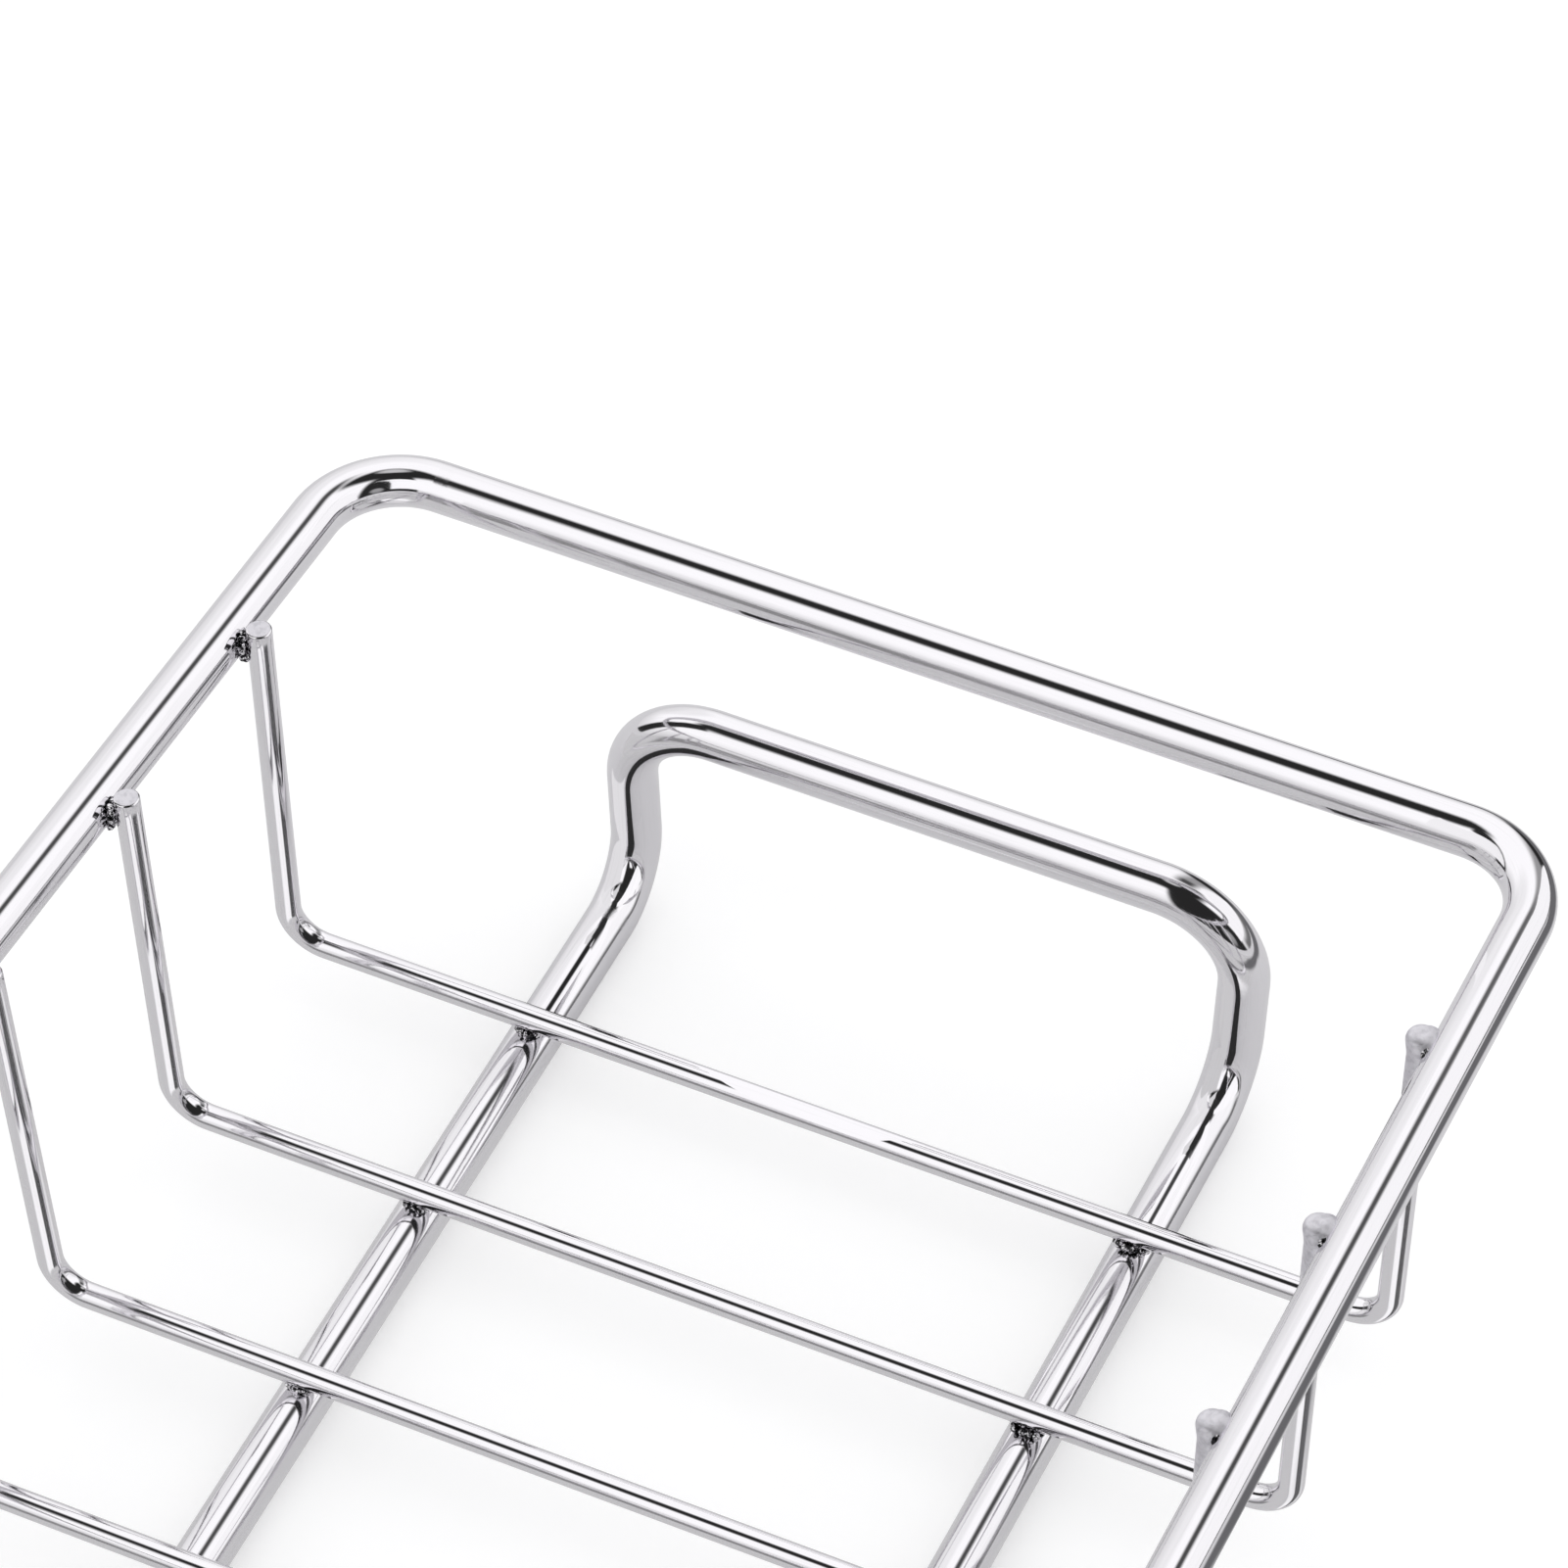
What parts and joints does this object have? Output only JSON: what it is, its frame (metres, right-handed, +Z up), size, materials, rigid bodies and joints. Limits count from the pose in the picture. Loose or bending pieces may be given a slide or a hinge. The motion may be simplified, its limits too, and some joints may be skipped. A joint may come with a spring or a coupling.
{
  "type": "faucet organizer rack",
  "caption": "Polished wire rack that stands round a faucet: a basket at each end, an open bay between them, and a base loop whose ends turn up as end guards.",
  "frame": {"origin": "centre of the rack's overall width and length, on the surface that it stands on", "axes": "+Y along the rack from the near end to the far end, +Z up, +X to the side with the straight long wire"},
  "size_m": [0.1338, 0.305, 0.0488],
  "materials": {
    "rim_steel": "mirror polished",
    "base_loop_steel": "mirror polished",
    "cross_wire_steel": "polished, with matt cut ends"
  },
  "bodies": {
    "root": {"rim_wire": "rim_steel", "base_loop": "base_loop_steel", "cross_wire_1": "cross_wire_steel", "cross_wire_2": "cross_wire_steel", "cross_wire_3": "cross_wire_steel", "cross_wire_4": "cross_wire_steel", "cross_wire_5": "cross_wire_steel", "cross_wire_6": "cross_wire_steel", "cross_wire_7": "cross_wire_steel", "cross_wire_8": "cross_wire_steel"}
  },
  "joints": []
}
